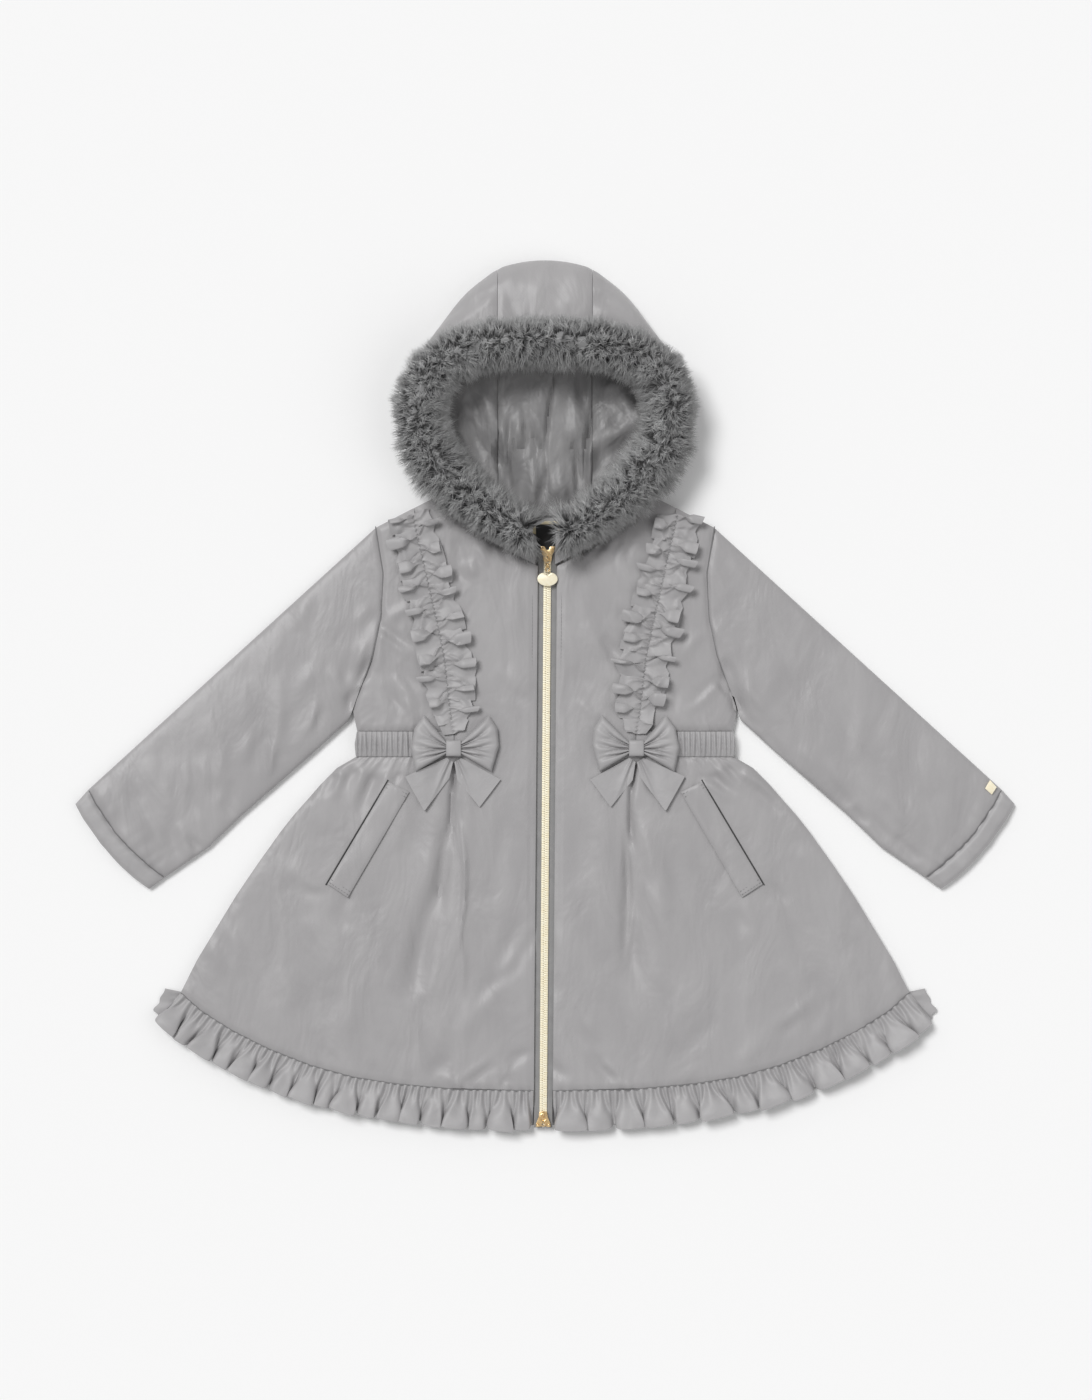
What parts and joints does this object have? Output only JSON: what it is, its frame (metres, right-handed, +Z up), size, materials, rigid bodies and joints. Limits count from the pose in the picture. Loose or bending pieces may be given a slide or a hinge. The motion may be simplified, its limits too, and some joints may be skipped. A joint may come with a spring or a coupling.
{
  "type": "child's hooded winter coat laid flat",
  "caption": "Grey satin girl's winter coat laid flat: fur-trimmed hood, gold front zip, ruffles and bows.",
  "frame": {"origin": "on the surface that the coat lies on, under the middle of the box of the whole coat", "axes": "+Z up from the surface, through the coat's thickness; +Y towards the hood; +X across the sleeves, towards the right of the front as it is seen from above"},
  "size_m": [0.818, 0.7559, 0.0608],
  "materials": {
    "shell": "grey padded satin, soft sheen",
    "lining": "grey plain lining, creased",
    "fur": "dark grey faux fur, about 12 mm pile",
    "zip_tape": "grey woven zip tape",
    "zip_metal": "pale gold, polished",
    "label": "plain woven label, no lettering"
  },
  "bodies": {
    "root": {"back_bodice": "shell", "back_waistband": "shell", "back_skirt": "shell", "hem_ruffle_back": "shell", "front_left": "shell", "front_right": "shell", "side_bodice_left": "shell", "side_bodice_right": "shell", "waistband_left": "shell", "waistband_right": "shell", "sleeve_left": "shell", "sleeve_right": "shell", "cuff_left": "shell", "cuff_right": "shell", "hem_ruffle_left": "shell", "hem_ruffle_right": "shell", "ruffle_strip_left": "shell", "ruffle_strip_right": "shell", "pocket_welt_left": "shell", "pocket_welt_right": "shell", "bow_loops_left": "shell", "bow_loops_right": "shell", "bow_knot_left": "shell", "bow_knot_right": "shell", "bow_tail_outer_left": "shell", "bow_tail_outer_right": "shell", "bow_tail_inner_left": "shell", "bow_tail_inner_right": "shell", "hood_centre": "shell", "hood_left": "shell", "hood_right": "shell", "hood_lining_centre": "lining", "hood_lining_left": "lining", "hood_lining_right": "lining", "fur_trim": "fur", "zip_tape_left": "zip_tape", "zip_tape_right": "zip_tape", "zip_chain": "zip_metal", "zip_slider_top": "zip_metal", "zip_slider_bottom": "zip_metal", "cuff_plate": "zip_metal", "neck_label": "label"},
    "top_link": {"pull_link": "zip_metal"},
    "top_charm": {"pull_charm": "zip_metal"},
    "bottom_tab": {"bottom_pull": "zip_metal"}
  },
  "joints": [
    {"name": "pull_lift", "type": "hinge", "parent": "root", "child": "top_link", "pos_m": [0.00216, 0.1195, 0.0117], "axis": [-1, 0, 0], "range_deg": [0, 90]},
    {"name": "charm_swing", "type": "hinge", "parent": "top_link", "child": "top_charm", "pos_m": [0.00216, 0.109, 0.0117], "axis": [-1, 0, 0], "range_deg": [0, 30]},
    {"name": "bottom_pull_lift", "type": "hinge", "parent": "root", "child": "bottom_tab", "pos_m": [-0.00157, -0.3635, 0.0117], "axis": [-1, 0, 0], "range_deg": [0, 120]}
  ]
}
